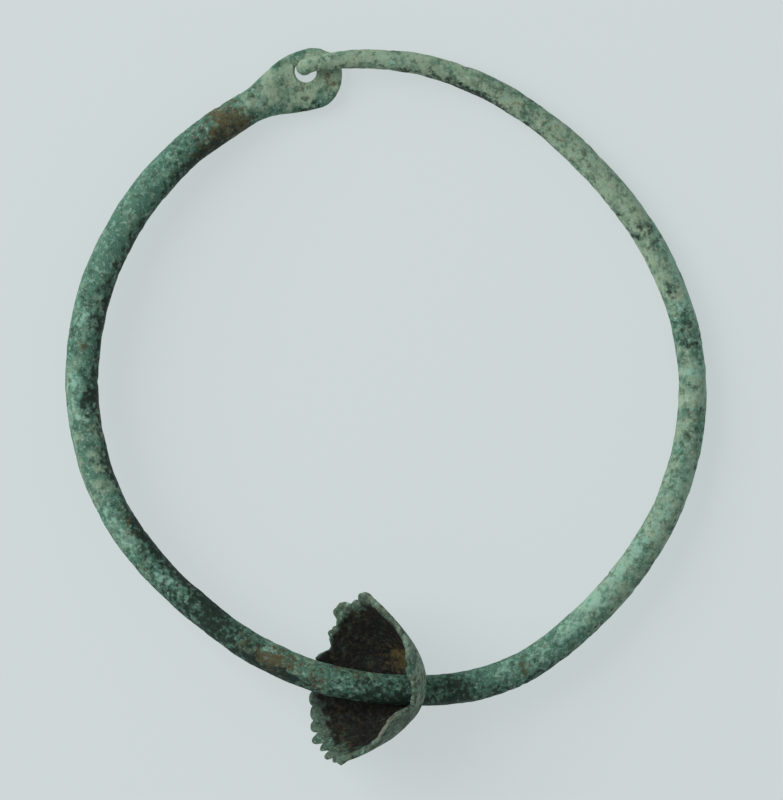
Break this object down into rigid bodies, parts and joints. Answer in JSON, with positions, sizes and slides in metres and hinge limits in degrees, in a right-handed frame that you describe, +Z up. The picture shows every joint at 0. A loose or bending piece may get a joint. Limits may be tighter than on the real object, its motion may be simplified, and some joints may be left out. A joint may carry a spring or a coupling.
{
  "type": "earring",
  "caption": "Corroded bronze hoop earring lying on its side, with a hook-and-eye clasp and a broken cup with a toothed rim threaded on the wire.",
  "frame": {"origin": "on the ground, under the middle of the box round the earring as it lies", "axes": "+Z up from the ground, +Y from the cup towards the clasp, +X to the right as seen from above with the clasp at the top"},
  "size_m": [0.0544, 0.0608, 0.0108],
  "materials": {
    "hoop_bronze": "corroded bronze under a grey-green patina with pale green crust and dark spots",
    "cup_bronze": "thin corroded bronze, dark brown inside and grey-green outside"
  },
  "bodies": {
    "root": {"hoop": "hoop_bronze", "cup": "cup_bronze"}
  },
  "joints": []
}
